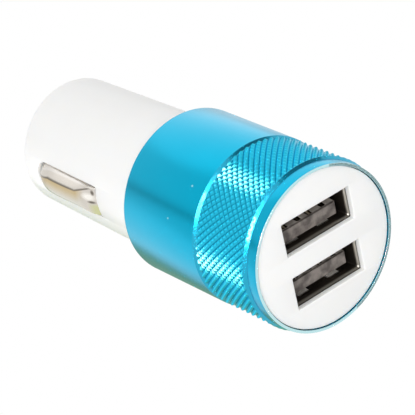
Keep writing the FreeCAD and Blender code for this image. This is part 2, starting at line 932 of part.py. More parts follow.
def make_insulator(label, centre, rise):
    body = new_body(label)
    play = s.seat_clearance * 2
    base = draw(
        body,
        f"{label}_base_outline",
        "XY_Plane",
        [block(s.shell_width - play, s.shell_height - play)],
        socket_back - s.base_thickness,
    )
    grow("Pad", body, f"{label}_base", base, s.base_thickness)
    front = socket_front + s.tongue_setback
    bottom = tongue_bottom + rise
    top = tongue_top + rise
    tongue = draw(
        body,
        f"{label}_tongue_outline",
        "XY_Plane",
        [rectangle(-tongue_width / 2, bottom, tongue_width / 2, top)],
        front,
    )
    grow("Pad", body, f"{label}_tongue", tongue, socket_back - s.base_thickness - front)
    half = s.strip_width / 2 + s.strip_play
    grooves = [
        rectangle(middle - half, top - s.groove_depth, middle + half, top) for middle in contact_places
    ]
    groove_sketch = draw(body, f"{label}_grooves_outline", "XY_Plane", grooves, socket_back)
    groove_length = socket_back - front - s.groove_lip
    grow("Pocket", body, f"{label}_grooves", groove_sketch, groove_length)
    dress(
        "Chamfer",
        body,
        f"{label}_tongue_edges",
        s.tongue_edge,
        lambda edge: near(edge.BoundBox.ZMax, front.number)
        and edge.BoundBox.YLength > s.tongue_thickness.number / 2,
    )
    place(body, y=centre)


def make_strips(prefix, centre, rise):
    """The four contacts of a socket: flat springs that bow out of the tongue's grooves."""
    low = tongue_top + rise - s.groove_depth + s.strip_play
    high = low + s.strip_sheet
    nose = socket_front + s.tongue_setback + s.groove_lip + s.strip_play
    bow = nose + s.groove_lip * 5
    flat = bow + s.groove_lip * 6
    tail = port_board_back + s.pin_length
    profile = [
        (low, tail),
        (low, flat),
        (low + s.strip_bulge, bow),
        (low, nose),
        (high, nose),
        (high + s.strip_bulge, bow),
        (high, flat),
        (high, tail),
    ]
    for number, place_across in enumerate(contact_places, start=1):
        label = f"{prefix}_contact_{number}"
        body = new_body(label)
        sketch = draw(body, f"{label}_profile", "YZ_Plane", [profile])
        grow("Pad", body, f"{label}_strip", sketch, s.strip_width, side="Symmetric")
        place(body, x=place_across, y=centre)


# Parts on the main board: each stands on one face of it


def stand_on_board(body, side, along):
    """Turns a piece modelled upright about Z so that it stands on the board's +Y or -Y face."""
    place(body, y=half_board * side, z=along, axis=(1, 0, 0), angle=-90 * side)


def make_can_capacitor(label, along):
    body = new_body(label)
    plinth = draw(body, f"{label}_plinth_outline", "XY_Plane", [block(s.can_base, s.can_base)])
    grow("Pad", body, f"{label}_plinth", plinth, s.can_base_thickness)
    dress("Chamfer", body, f"{label}_corners", s.can_base_corner, lambda edge: runs_along(edge, (0, 0, 1)))
    top = s.can_base_thickness + s.can_height
    neck = s.can_base_thickness + s.can_neck * 3
    profile = [
        (0, s.can_base_thickness / 2),
        (s.can_radius - s.can_neck, s.can_base_thickness / 2),
        (s.can_radius - s.can_neck, s.can_base_thickness),
        (s.can_radius, s.can_base_thickness + s.can_neck),
        (s.can_radius, neck - s.can_neck),
        (s.can_radius - s.can_neck, neck),
        (s.can_radius, neck + s.can_neck),
        (s.can_radius, top - s.can_neck),
        (s.can_radius - s.can_neck, top),
        (0, top),
    ]
    revolve(body, f"{label}_can", draw(body, f"{label}_can_profile", "XZ_Plane", [profile]))
    stand_on_board(body, 1, along)


def make_inductor(along):
    upper = s.coil_height - s.coil_flange
    core = turned(
        "inductor_core",
        [
            (0, 0),
            (s.coil_radius, 0),
            (s.coil_radius, s.coil_flange),
            (s.coil_spool, s.coil_flange),
            (s.coil_spool, upper),
            (s.coil_radius, upper),
            (s.coil_radius, s.coil_height),
            (0, s.coil_height),
        ],
    )
    stand_on_board(core, 1, along)
    bead = (upper - s.coil_flange) / 8
    barrel = [(s.winding_radius, s.coil_flange + bead * (2 * turn + 1)) for turn in range(4)]
    grooves = [(s.winding_radius - bead, s.coil_flange + bead * (2 * turn + 2)) for turn in range(3)]
    outside = [corner for pair in zip(barrel, grooves) for corner in pair] + barrel[-1:]
    winding = turned(
        "inductor_winding",
        [(s.coil_spool, s.coil_flange), (s.winding_radius - bead, s.coil_flange)]
        + outside
        + [(s.winding_radius - bead, upper), (s.coil_spool, upper)],
    )
    stand_on_board(winding, 1, along)


def make_chip(along):
    body = new_body("regulator_chip")
    outline = draw(body, "chip_outline", "XY_Plane", [block(s.chip_width, s.chip_length)], s.chip_standoff)
    grow("Pad", body, "chip_moulding", outline, s.chip_height)
    middle = s.chip_standoff + s.chip_height / 2
    inside = s.chip_width / 2 - s.lead_sheet
    knee = s.chip_width / 2 + s.lead_reach / 2
    toe = s.chip_width / 2 + s.lead_reach
    lead = [
        (inside, middle),
        (knee, middle),
        (knee, s.lead_sheet),
        (toe, s.lead_sheet),
        (toe, 0),
        (knee - s.lead_sheet, 0),
        (knee - s.lead_sheet, middle - s.lead_sheet),
        (inside, middle - s.lead_sheet),
    ]
    sketch = draw(body, "lead_profile", "XZ_Plane", [lead], s.lead_pitch * 1.5)
    first = grow("Pad", body, "lead", sketch, s.lead_width, side="Symmetric")
    count = 4
    row_of_leads = repeat(
        "LinearPattern",
        body,
        "leads",
        [first],
        Direction=(origin_part(body, "Y_Axis"), [""]),
        Occurrences=count,
    )
    row_of_leads.setExpression("Length", (s.lead_pitch * (count - 1)).text)
    doc.recompute()
    opposite = draw(
        body,
        "opposite_lead_profile",
        "XZ_Plane",
        [[(-u, v) for u, v in lead]],
        s.lead_pitch * 1.5,
    )
    second = grow("Pad", body, "opposite_lead", opposite, s.lead_width, side="Symmetric")
    other_row = repeat(
        "LinearPattern",
        body,
        "opposite_leads",
        [second],
        Direction=(origin_part(body, "Y_Axis"), [""]),
        Occurrences=count,
    )
    other_row.setExpression("Length", (s.lead_pitch * (count - 1)).text)
    doc.recompute()
    stand_on_board(body, -1, along)


def make_block_part(label, length, width, height, side, across, along):
    """A small ceramic or moulded part with a soldered cap on each end, lying across the board."""
    body = new_body(label)
    core = draw(body, f"{label}_outline", "XY_Plane", [block(length - s.end_cap, width)], s.end_cap_proud)
    grow("Pad", body, f"{label}_core", core, height)
    proud = s.end_cap_proud * 2
    half = length / 2
    half_cap = width / 2 + s.end_cap_proud
    caps = [
        rectangle(half - s.end_cap, -half_cap, half, half_cap),
        rectangle(-half, -half_cap, s.end_cap - half, half_cap),
    ]
    caps_sketch = draw(body, f"{label}_caps_outline", "XY_Plane", caps)
    grow("Pad", body, f"{label}_caps", caps_sketch, height + proud)
    stand_on_board(body, side, along)
    body.setExpression("Placement.Base.x", as_size(across).text)


def make_board_parts():
    first = port_board_back + s.can_base / 2 + s.first_part_gap
    last = stem_start - s.can_base / 2 - s.last_part_gap
    span = last - first
    make_can_capacitor("output_capacitor", first)
    make_inductor(first + span / 2)
    make_can_capacitor("input_capacitor", last)
    make_chip(first + span * 3 / 8)
    diode = (s.diode_length, s.diode_width, s.diode_height)
    make_block_part("flyback_diode", *diode, -1, 0, first + span * 3 / 4)
    ceramic = (s.ceramic_length, s.ceramic_width, s.ceramic_height)
    make_block_part("ceramic_capacitor", *ceramic, -1, 0, last)
    resistor = (s.resistor_length, s.resistor_width, s.resistor_height)
    for number, across in enumerate((s.resistor_length, -s.resistor_length), start=1):
        make_block_part(f"feedback_resistor_{number}", *resistor, -1, across, first)


make_sleeve()
make_face_plate()
make_barrel()
make_side_contact("side_contact_right", 0)
make_side_contact("side_contact_left", 180)
make_tip()
make_boards()
for prefix, middle, rise in (("upper", s.port_pitch / 2, as_size(0)), ("lower", -s.port_pitch / 2, s.tongue_rise)):
    make_shell(f"{prefix}_shell", middle)
    make_insulator(f"{prefix}_insulator", middle, rise)
    make_strips(prefix, middle, rise)
make_board_parts()

# Checks, then one file for each piece

doc.recompute()
for item in doc.Objects:
    if "Invalid" in item.State or "Error" in item.State:
        raise ValueError(f"{item.Label} failed: {item.State}")
os.makedirs("parts", exist_ok=True)
for piece in pieces:
    shape = piece.Shape
    if shape.isNull() or not shape.isValid():
        raise ValueError(f"{piece.Label} has no valid shape")
    print(f"{piece.Label:22s} solids {len(shape.Solids)} volume {shape.Volume:9.2f} mm3")
    shape.exportStep(f"parts/{piece.Label}.step")
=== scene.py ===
import math

import bmesh
import bpy
from mathutils import Matrix, Vector
from mathutils.geometry import tessellate_polygon


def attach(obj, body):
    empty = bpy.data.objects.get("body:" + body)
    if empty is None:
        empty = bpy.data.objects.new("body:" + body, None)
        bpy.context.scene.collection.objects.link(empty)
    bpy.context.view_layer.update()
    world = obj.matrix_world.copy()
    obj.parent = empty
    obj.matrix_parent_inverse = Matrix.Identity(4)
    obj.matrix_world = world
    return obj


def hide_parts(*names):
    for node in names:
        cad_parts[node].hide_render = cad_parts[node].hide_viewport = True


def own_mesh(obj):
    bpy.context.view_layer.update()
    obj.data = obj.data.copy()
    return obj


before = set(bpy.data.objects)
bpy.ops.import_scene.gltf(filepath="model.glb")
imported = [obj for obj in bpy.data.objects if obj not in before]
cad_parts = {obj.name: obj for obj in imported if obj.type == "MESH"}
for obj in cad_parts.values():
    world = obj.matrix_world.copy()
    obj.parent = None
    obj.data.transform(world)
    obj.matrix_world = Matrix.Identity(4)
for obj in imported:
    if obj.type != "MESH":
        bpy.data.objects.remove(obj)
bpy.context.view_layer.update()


# Camera. It looks up at the charger's face from low on one side, so that the standing charger seems to lie.
# Its place and its long lens were solved from the face's circle, the two ports and the plug's outline.

mm = 0.001
scene = bpy.context.scene
camera_data = bpy.data.cameras.new("camera")
camera_data.sensor_width = 36.0
camera_data.lens = 188.16
camera_data.clip_start = 0.01
camera_data.clip_end = 10.0
camera = bpy.data.objects.new("camera", camera_data)
scene.collection.objects.link(camera)
camera_place = Vector((151.16, 152.18, -210.78)) * mm
camera_right = Vector((-0.7640, -0.1985, -0.6140))
camera_up = Vector((-0.4416, 0.8546, 0.2732))
camera_back = camera_right.cross(camera_up)
camera.matrix_world = Matrix.Translation(camera_place) @ Matrix(
    (camera_right, camera_up, camera_back)
).transposed().to_4x4()
scene.camera = camera
scene.view_settings.view_transform = "Standard"


# Studio. A white surround that also shows in metal, a pale floor under the charger's rim, soft boxes, and
# cards that only reflections show. The floor only shows from above, so the camera below it sees the face.


class Wire:
    """One output of a node tree. Arithmetic on wires and numbers adds Math nodes to the tree."""

    def __init__(self, tree, socket=None):
        self.tree = tree
        self.socket = socket

    def node(self, kind, inputs=None, output=0, **settings):
        """Adds any node, with its inputs and its output by name or number."""
        made = self.tree.nodes.new(kind)
        for name, value in settings.items():
            setattr(made, name, value)
        for name, value in (inputs or {}).items():
            if isinstance(value, Wire):
                self.tree.links.new(value.socket, made.inputs[name])
            else:
                made.inputs[name].default_value = value
        return Wire(self.tree, made.outputs[output] if len(made.outputs) else None)

    def math(self, operation, *terms):
        return self.node("ShaderNodeMath", dict(enumerate(terms)), operation=operation)

    def __add__(self, other):
        return self.math("ADD", self, other)

    def __sub__(self, other):
        return self.math("SUBTRACT", self, other)

    def __rsub__(self, other):
        return self.math("SUBTRACT", other, self)

    def __mul__(self, other):
        return self.math("MULTIPLY", self, other)

    def __truediv__(self, other):
        return self.math("DIVIDE", self, other)

    __radd__ = __add__
    __rmul__ = __mul__

    def blend(self, first, second):
        """A colour between two, by this factor."""
        tones = [tone if isinstance(tone, Wire) else (*tone, 1.0) for tone in (first, second)]
        return self.node("ShaderNodeMix", {0: self, 6: tones[0], 7: tones[1]}, 2, data_type="RGBA")

    def ramp(self, start, end, low=0.0, high=1.0):
        """From low to high as this goes from start to end, and level outside."""
        return self.node("ShaderNodeMapRange", {0: self, 1: start, 2: end, 3: low, 4: high})

    def axes(self):
        """The X, Y and Z of a position."""
        return [self.node("ShaderNodeSeparateXYZ", {0: self}, letter) for letter in "XYZ"]


surround = bpy.data.worlds.new("studio")
surround.use_nodes = True
surround.node_tree.nodes.clear()
air = Wire(surround.node_tree)
seen = air.math(
    "MAXIMUM",
    air.node("ShaderNodeLightPath", output="Is Camera Ray"),
    air.math(
        "MAXIMUM",
        air.node("ShaderNodeLightPath", output="Is Glossy Ray"),
        air.node("ShaderNodeLightPath", output="Is Transmission Ray"),
    ),
)
white = air.node("ShaderNodeBackground", {"Color": (1.0, 1.0, 1.0, 1.0), "Strength": 1.0})
ambient = air.node("ShaderNodeBackground", {"Color": (1.0, 1.0, 1.0, 1.0), "Strength": 0.62})
mixed = air.node("ShaderNodeMixShader", {0: seen, 1: ambient, 2: white})
air.node("ShaderNodeOutputWorld", {"Surface": mixed})
scene.world = surround

floor_material = bpy.data.materials.new("floor")
floor_material.use_nodes = True
floor_material.node_tree.nodes.clear()
ground = Wire(floor_material.node_tree)
paper_grain = ground.node("ShaderNodeTexNoise", {"Scale": 40.0, "Detail": 3.0}, "Fac")
paper = paper_grain.blend((0.90, 0.90, 0.90), (0.94, 0.94, 0.94))
ground.node(
    "ShaderNodeOutputMaterial",
    {
        "Surface": ground.node(
            "ShaderNodeMixShader",
            {
                0: ground.node("ShaderNodeNewGeometry", output="Backfacing"),
                1: ground.node("ShaderNodeBsdfDiffuse", {"Color": paper}),
                2: ground.node("ShaderNodeBsdfTransparent"),
            },
        )
    },
)


def card(name, corners, material):
    """A flat sheet of the studio, which isn't part of the charger."""
    mesh = bpy.data.meshes.new(name)
    mesh.from_pydata(corners, [], [tuple(range(len(corners)))])
    mesh.materials.append(material)
    sheet = bpy.data.objects.new(name, mesh)
    scene.collection.objects.link(sheet)
    return sheet


floor_reach = 1.5
floor = card(
    "floor",
    [
        (-floor_reach, -floor_reach, 0),
        (floor_reach, -floor_reach, 0),
        (floor_reach, floor_reach, 0),
        (-floor_reach, floor_reach, 0),
    ],
    floor_material,
)
floor.visible_shadow = False
floor.visible_diffuse = False
floor.visible_glossy = False

studio_middle = Vector((0, 0, 0.03))


def facing(direction, distance):
    """A matrix for something that stands off in a direction and faces the charger."""
    outward = Vector(direction).normalized()
    turn = outward.to_track_quat("Z", "Y").to_matrix().to_4x4()
    return Matrix.Translation(studio_middle + outward * distance) @ turn


def soft_box(name, direction, distance, width, height, watts, colour=(1.0, 1.0, 1.0)):
    data = bpy.data.lights.new(name, "AREA")
    data.shape = "RECTANGLE"
    data.size = width
    data.size_y = height
    data.energy = watts
    data.color = colour
    lamp = bpy.data.objects.new(name, data)
    lamp.matrix_world = facing(direction, distance)
    lamp.visible_camera = False
    scene.collection.objects.link(lamp)
    return lamp


def toward(azimuth, elevation):
    """A direction from the charger, in degrees from +X towards +Y and up from the floor."""
    turn, lift = math.radians(azimuth), math.radians(elevation)
    return Vector((math.cos(turn) * math.cos(lift), math.sin(turn) * math.cos(lift), math.sin(lift)))


soft_box("key", toward(27, -42), 0.42, 0.30, 0.045, 0.8).visible_glossy = False
soft_box("front", toward(45, -36), 0.50, 0.40, 0.40, 0.42)
soft_box("top", toward(125, 48), 0.50, 0.70, 0.30, 0.28)
soft_box("low", toward(-40, 48), 0.50, 0.34, 0.26, 0.08)
soft_box("bevel glint", toward(32, -41), 0.42, 0.19, 0.045, 0.85).visible_diffuse = False
soft_box("fill", toward(-60, 12), 0.50, 0.30, 0.30, 0.60).visible_glossy = False


def reflector(name, direction, distance, width, height, colour):
    """A card that only reflections show."""
    material = bpy.data.materials.new(name)
    material.use_nodes = True
    material.node_tree.nodes.clear()
    board = Wire(material.node_tree)
    weave = board.node("ShaderNodeTexNoise", {"Scale": 30.0, "Detail": 2.0}, "Fac")
    dim = tuple(level * 0.85 for level in colour)
    board.node(
        "ShaderNodeOutputMaterial",
        {"Surface": board.node("ShaderNodeEmission", {"Color": weave.blend(dim, colour)})},
    )
    x, y = width / 2, height / 2
    sheet = card(name, [(-x, -y, 0), (x, -y, 0), (x, y, 0), (-x, y, 0)], material)
    sheet.matrix_world = facing(direction, distance)
    sheet.visible_camera = False
    sheet.visible_diffuse = False
    sheet.visible_shadow = False


reflector("line card", toward(14, 48), 0.40, 0.045, 0.26, (0.50, 0.50, 0.50))
reflector("bevel card", toward(125, -28), 0.40, 0.34, 0.24, (0.20, 0.22, 0.24))
reflector("upper groove card", toward(131, 8), 0.40, 0.30, 0.16, (0.66, 0.72, 0.72))
reflector("lower groove card", toward(-85, 8), 0.40, 0.26, 0.16, (0.70, 0.80, 0.44))
reflector("warm card", toward(-102, 35), 0.40, 0.22, 0.40, (0.40, 0.52, 0.30))


# Sleeve. A turned and anodised aluminium shell, with a diamond knurl that was rolled between two bevels.
# It is pressed over the head of the barrel, and its front lip holds the face plate.


def rounded(corners, steps=4):
    """A closed outline from (radius, height, rounding) corners, with an arc at each rounded one."""
    outline = []
    for index, corner in enumerate(corners):
        here = Vector(corner[:2])
        if len(corner) < 3:
            outline.append(here)
            continue
        before = (Vector(corners[index - 1][:2]) - here).normalized()
        after = (Vector(corners[(index + 1) % len(corners)][:2]) - here).normalized()
        half = before.angle(after) / 2
        middle = here + (before + after).normalized() * (corner[2] / math.sin(half))
        start = here + before * (corner[2] / math.tan(half)) - middle
        end = here + after * (corner[2] / math.tan(half)) - middle
        sweep = math.atan2(start.x * end.y - start.y * end.x, start.dot(end))
        for step in range(steps + 1):
            turn = sweep * step / steps
            outline.append(
                middle
                + Vector(
                    (
                        start.x * math.cos(turn) - start.y * math.sin(turn),
                        start.x * math.sin(turn) + start.y * math.cos(turn),
                    )
                )
            )
    return outline


def ring(radius, height, columns):
    """One row of points round the axis, or the single point of a pole."""
    if radius < 1e-6:
        return [Vector((0, 0, height))]
    return [
        Vector((radius * math.cos(a), radius * math.sin(a), height))
        for a in (2 * math.pi * column / columns for column in range(columns))
    ]


def skin(rows, falling=None):
    """Points and faces between rows that close on themselves; falling says which way a cell is halved."""
    points = [point for row in rows for point in row]
    starts = [sum(len(row) for row in rows[:index]) for index in range(len(rows))]
    faces = []
    for level in range(len(rows) - 1):
        low, high = starts[level], starts[level + 1]
        count = max(len(rows[level]), len(rows[level + 1]))
        for column in range(count):
            following = (column + 1) % count
            if len(rows[level]) == 1:
                faces.append((low, high + following, high + column))
            elif len(rows[level + 1]) == 1:
                faces.append((low + column, low + following, high))
            else:
                a, b, c, d = low + column, low + following, high + following, high + column
                way = falling(level, column) if falling else None
                if way is None:
                    faces.append((a, b, c, d))
                elif way:
                    faces.extend([(a, b, d), (b, c, d)])
                else:
                    faces.extend([(a, b, c), (a, c, d)])
    return points, faces


def settle(mesh, crease=30):
    """Merges doubles, points the faces outwards and shades smooth between creases."""
    shape = bmesh.new()
    shape.from_mesh(mesh)
    bmesh.ops.remove_doubles(shape, verts=shape.verts, dist=1e-7)
    bmesh.ops.recalc_face_normals(shape, faces=shape.faces)
    shape.to_mesh(mesh)
    shape.free()
    mesh.shade_smooth()
    mesh.set_sharp_from_angle(angle=math.radians(crease))


def solid(name, *skins, crease=30):
    """An object from one or more closed skins, each with its points in millimetres."""
    points, faces = [], []
    for more_points, more_faces in skins:
        faces.extend(tuple(len(points) + index for index in face) for face in more_faces)
        points.extend(more_points)
    mesh = bpy.data.meshes.new(name)
    mesh.from_pydata([Vector(point) * mm for point in points], [], faces)
    settle(mesh, crease)
    made = bpy.data.objects.new(name, mesh)
    scene.collection.objects.link(made)
    return made


def plain(source, name):
    """A plain mesh object of what a source looks like with its modifiers; the source goes."""
    view_layer = bpy.context.view_layer
    view_layer.update()
    evaluated = source.evaluated_get(bpy.context.evaluated_depsgraph_get())
    mesh = bpy.data.meshes.new_from_object(evaluated)
    bpy.data.objects.remove(source)
    mesh.name = name
    made = bpy.data.objects.new(name, mesh)
    scene.collection.objects.link(made)
    return made


def node_tree(name, geometry_name, sizes):
    """A geometry tree with named inputs; returns it and its inputs as wires by name."""
    tree = bpy.data.node_groups.new(name, "GeometryNodeTree")
    tree.interface.new_socket(geometry_name, in_out="INPUT", socket_type="NodeSocketGeometry")
    for size in sizes:
        tree.interface.new_socket(size, in_out="INPUT", socket_type="NodeSocketFloat")
    tree.interface.new_socket("Finish", in_out="INPUT", socket_type="NodeSocketMaterial")
    tree.interface.new_socket("Geometry", in_out="OUTPUT", socket_type="NodeSocketGeometry")
    given = tree.nodes.new("NodeGroupInput")
    return tree, {socket.name: Wire(tree, socket) for socket in given.outputs if socket.name}


def close_tree(geometry, finish):
    """Ends a tree in Realize Instances and Set Material."""
    real = geometry.node("GeometryNodeRealizeInstances", {"Geometry": geometry})
    geometry.node(
        "NodeGroupOutput",
        {0: geometry.node("GeometryNodeSetMaterial", {"Geometry": real, "Material": finish})},
    )


def grow(source, tree, name, **values):
    """Runs a tree on an object and returns the result as a plain mesh object."""
    modifier = source.modifiers.new("grow", "NODES")
    modifier.node_group = tree
    for item in tree.interface.items_tree:
        if item.in_out == "INPUT" and item.name in values:
            modifier[item.identifier] = values[item.name]
    return plain(source, name)


def finish(name, colour, roughness, metallic=0.0, **constants):
    """A new material: returns it, a wire of Object coordinates and the shader to plug things into."""
    material = bpy.data.materials.new(name)
    material.use_nodes = True
    shader = material.node_tree.nodes["Principled BSDF"]
    shader.inputs["Base Color"].default_value = (*colour, 1.0)
    shader.inputs["Roughness"].default_value = roughness
    shader.inputs["Metallic"].default_value = metallic
    for socket, value in constants.items():
        shader.inputs[socket.replace("_", " ")].default_value = value
    place = Wire(material.node_tree).node("ShaderNodeTexCoord", output="Object")
    return material, place, shader


def feed(shader, **wires):
    """Plugs wires into a shader's inputs."""
    for name, wire in wires.items():
        wire.tree.links.new(wire.socket, shader.inputs[name.replace("_", " ")])


def stretched(place, x, y, z):
    """Object coordinates scaled along each axis, in features per metre."""
    return place.node("ShaderNodeVectorMath", {0: place, 1: (x, y, z)}, operation="MULTIPLY")


def noise(place, x, y, z, detail=3.0):
    """Fine noise from 0 to 1, with so many features per metre along each axis."""
    return place.node(
        "ShaderNodeTexNoise", {"Vector": stretched(place, x, y, z), "Scale": 1.0, "Detail": detail}, "Fac"
    )


def bump(height, depth):
    """A normal from a height in metres."""
    return height.node("ShaderNodeBump", {"Height": height * depth, "Strength": 1.0, "Distance": 1.0})


sleeve_radius = 12.75
sleeve_bore = 11.55
sleeve_end = 30.10
lip_radius = 11.92
lip_back = 1.85
bezel_radius = 12.35
bezel_back = 1.90
bevel_foot = 12.37
front_bevel = 0.19
rear_bevel_start = 13.18
rear_bevel_end = 13.56
knurl_start = 2.28
knurl_end = 12.88
diamonds_round = 70
half_rows = 18
per_half = 4
knurl_depth = 0.30
groove_top = 12.45
crest_top = 12.51
diamond_length = 2 * (knurl_end - knurl_start) / half_rows

anodised, place, shader = finish("anodised blue", (0.001, 0.375, 0.58), 0.25, 1.0, Coat_Roughness=0.12)
cloud = noise(place, 260, 260, 120)
turning = noise(place, 30, 30, 5200, 2.0)
handling = noise(place, 900, 900, 900, 5.0)
x, y, height = place.axes()
reach = place.math("SQRT", x * x + y * y)
outer = reach.ramp(groove_top * mm, crest_top * mm)
band_middle = 7.60
band_half = 5.20
from_band = place.math("ABSOLUTE", height - band_middle * mm)
off_band = from_band.ramp(band_half * mm, (band_half + 0.15) * mm)
outside_lip = reach.ramp((lip_radius + 0.03) * mm, (lip_radius + 0.13) * mm)
raised = place.math("MAXIMUM", outer, off_band) * outside_lip
faced = height.ramp(0.10 * mm, 0.03 * mm)
blue = cloud.blend((0.001, 0.36, 0.555), (0.001, 0.40, 0.605))
# Painted shade: the knurl's grooves, below the crests, get a darker blue
painted_groove_shade = (0.002, 0.28, 0.39)
rolled_blue = cloud.blend((0.010, 0.44, 0.65), (0.012, 0.49, 0.72))
around = place.math("ARCTAN2", y, x) * diamonds_round / (2 * math.pi)
along = (height - knurl_start * mm) / (diamond_length * mm)
to_ridge = place.math("PINGPONG", along + around, 0.5)
to_next_peak = place.math("PINGPONG", along - around, 0.5)
# Painted highlight: lighter dashes on the knurl's peaks, drawn out along one crest direction and broken up by
# noise
painted_crest_highlight = (
    to_ridge.ramp(0.15, 0.05)
    * to_next_peak.ramp(0.42, 0.24)
    * (1 - off_band)
    * (handling * 1.2)
)
scuffs = []
for spot_x, spot_y, spot_z, size in ((8.55, 9.45, 16.3, 0.20), (11.80, 4.83, 19.4, 0.16)):
    middle = (spot_x * mm, spot_y * mm, spot_z * mm)
    away = place.node("ShaderNodeVectorMath", {0: place, 1: middle}, "Value", operation="DISTANCE")
    ragged = away + noise(place, 3500, 3500, 3500) * (0.35 * mm)
    scuffs.append(ragged.ramp((size + 0.19) * mm, (size + 0.05) * mm))
scratched = place.math("MAXIMUM", scuffs[0], scuffs[1])
painted_crest_highlight_blue = (0.03, 0.76, 1.0)
bare_edge = (0.52, 0.78, 0.81)
banded = painted_crest_highlight.blend(raised.blend(painted_groove_shade, off_band.blend(rolled_blue, blue)), painted_crest_highlight_blue)
lacquer = off_band.ramp(0.0, 1.0, 0.28, 0.75)
behind = height.ramp(13.7 * mm, 13.5 * mm, 0.04, 1.0)
before = height.ramp((bezel_back - 0.15) * mm, bezel_back * mm, 0.20, 1.0)
feed(
    shader,
    Base_Color=place.math("MAXIMUM", faced, scratched * 0.7).blend(banded, bare_edge),
    Roughness=off_band * 0.035 + 0.17 + turning * 0.05 + handling * 0.04,
    Coat_Weight=lacquer * behind * before * raised,
    Normal=bump(turning * 0.6 + handling * 0.4, 1.2e-6),
)

row_step = (knurl_end - knurl_start) / (half_rows * per_half)
knurl_rows = [(sleeve_radius, knurl_start + row_step * row) for row in range(half_rows * per_half + 1)]
front = rounded(
    [
        (lip_radius, 0.0, 0.04),
        (bezel_radius, 0.0, 0.03),
        (bezel_radius, bezel_back),
        (bevel_foot, bezel_back),
    ]
)
front += [(bevel_foot + front_bevel, bezel_back + front_bevel)]
back = rounded(
    [
        (bevel_foot, knurl_end),
        (bevel_foot, rear_bevel_start, 0.05),
        (sleeve_radius, rear_bevel_end, 0.10),
        (sleeve_radius, sleeve_end, 0.30),
        (sleeve_bore, sleeve_end, 0.10),
        (sleeve_bore, lip_back),
        (lip_radius, lip_back),
    ]
)
profile = front + knurl_rows + back + front[:1]
sleeve_columns = diamonds_round * 2 * per_half
knurl_level = len(front)


def groove_falls(level, column):
    """In the knurled band each cell is halved along the groove that is nearer to it."""
    if not knurl_level <= level < knurl_level + half_rows * per_half:
        return None
    across, along = (column + 0.5) / (2 * per_half), (level - knurl_level + 0.5) / (2 * per_half)
    first, second = along + across, along - across
    return abs(first - round(first)) > abs(second - round(second))


knurl_tree, given = node_tree(
    "knurled band",
    "Blank",
    ["Radius", "Depth", "Band start", "Band end", "Diamond length", "Diamonds round", "Crest", "Fade"],
)
spot = Wire(knurl_tree).node("GeometryNodeInputPosition")
x, y, z = spot.axes()
reach = spot.math("SQRT", x * x + y * y)
around = spot.math("ARCTAN2", y, x) * given["Diamonds round"] / (2 * math.pi)
along = (z - given["Band start"]) / given["Diamond length"]


def to_groove(line):
    """0 on a line of crests and 1 on the groove between two of them."""
    return line.math("ABSOLUTE", line - line.math("ROUND", line)) * 2


steepest = spot.math("MAXIMUM", to_groove(along + around), to_groove(along - around))
fade = spot.math("MINIMUM", (z - given["Band start"]) / given["Fade"] * 0.85 + 0.15, 1)
cut = spot.math("MAXIMUM", (steepest - given["Crest"]) / (1 - given["Crest"]), 0) * fade
pressed = spot.math("MINIMUM", reach, given["Radius"] - given["Depth"] * cut)
in_band = spot.math("LESS_THAN", z, given["Band end"] + 1e-6)
share = (reach + (pressed - reach) * in_band) / reach
moved = spot.node("ShaderNodeCombineXYZ", {0: x * share, 1: y * share, 2: z})
pressed_blank = spot.node("GeometryNodeSetPosition", {"Geometry": given["Blank"], "Position": moved})
close_tree(pressed_blank, given["Finish"])

turned_rows = [ring(radius, height, sleeve_columns) for radius, height in profile]
blank = solid("blank", skin(turned_rows, groove_falls))
sleeve = grow(
    blank,
    knurl_tree,
    "knurled_sleeve",
    **{
        "Radius": sleeve_radius * mm,
        "Depth": knurl_depth * mm,
        "Band start": knurl_start * mm,
        "Band end": knurl_end * mm,
        "Diamond length": diamond_length * mm,
        "Diamonds round": float(diamonds_round),
        "Crest": 0.15,
        "Fade": 0.50 * mm,
        "Finish": anodised,
    },
)
tinted = anodised.copy()
tinted.name = "rolled blue"
tinted.node_tree.nodes["Principled BSDF"].inputs["Specular Tint"].default_value = (0.45, 0.85, 0.95, 1.0)
sleeve.data.materials.append(tinted)
for face in sleeve.data.polygons:
    if knurl_start * mm < face.center.z < knurl_end * mm:
        face.material_index = 1
settle(sleeve.data, 24)
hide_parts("sleeve")
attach(sleeve, "housing")

# A small warm lamp that only the sleeve sees gives the knurl its pale glints
knurl_glint = soft_box("knurl glint", toward(26, -5), 0.42, 0.14, 0.05, 1.35, (1.0, 0.18, 0.14))
knurl_glint.visible_diffuse = False
sleeve_alone = bpy.data.collections.new("sleeve alone")
sleeve_alone.objects.link(sleeve)
knurl_glint.light_linking.receiver_collection = sleeve_alone


# Face plate. A white moulded disc that snaps into the head with two lugs, behind the sleeve's lip.
# Each opening shows the plate's wall, and behind it the plate is cut out for the socket's shell.


def oblong(x_middle, y_middle, width, height, corner, level, steps=3):
    """Points round a rectangle with rounded corners."""
    points = []
    for quarter, (side, rise) in enumerate(((1, 1), (-1, 1), (-1, -1), (1, -1))):
        x_corner = x_middle + side * (width / 2 - corner)
        y_corner = y_middle + rise * (height / 2 - corner)
        for step in range(steps + 1):
            turn = math.pi / 2 * (quarter + step / steps)
            x, y = x_corner + corner * math.cos(turn), y_corner + corner * math.sin(turn)
            points.append(Vector((x, y, level)))
    return points


def cover(*loops):
    """A flat skin inside the first loop and outside the others."""
    points = [point for loop in loops for point in loop]
    return points, [tuple(face) for face in tessellate_polygon(loops)]


def prism(points, thrust):
    """A closed skin of a flat outline pushed along a vector."""
    count = len(points)
    faces = [tuple(range(count)), tuple(range(2 * count - 1, count - 1, -1))]
    faces += [(i, (i + 1) % count, count + (i + 1) % count, count + i) for i in range(count)]
    return [Vector(point) for point in points] + [Vector(point) + Vector(thrust) for point in points], faces


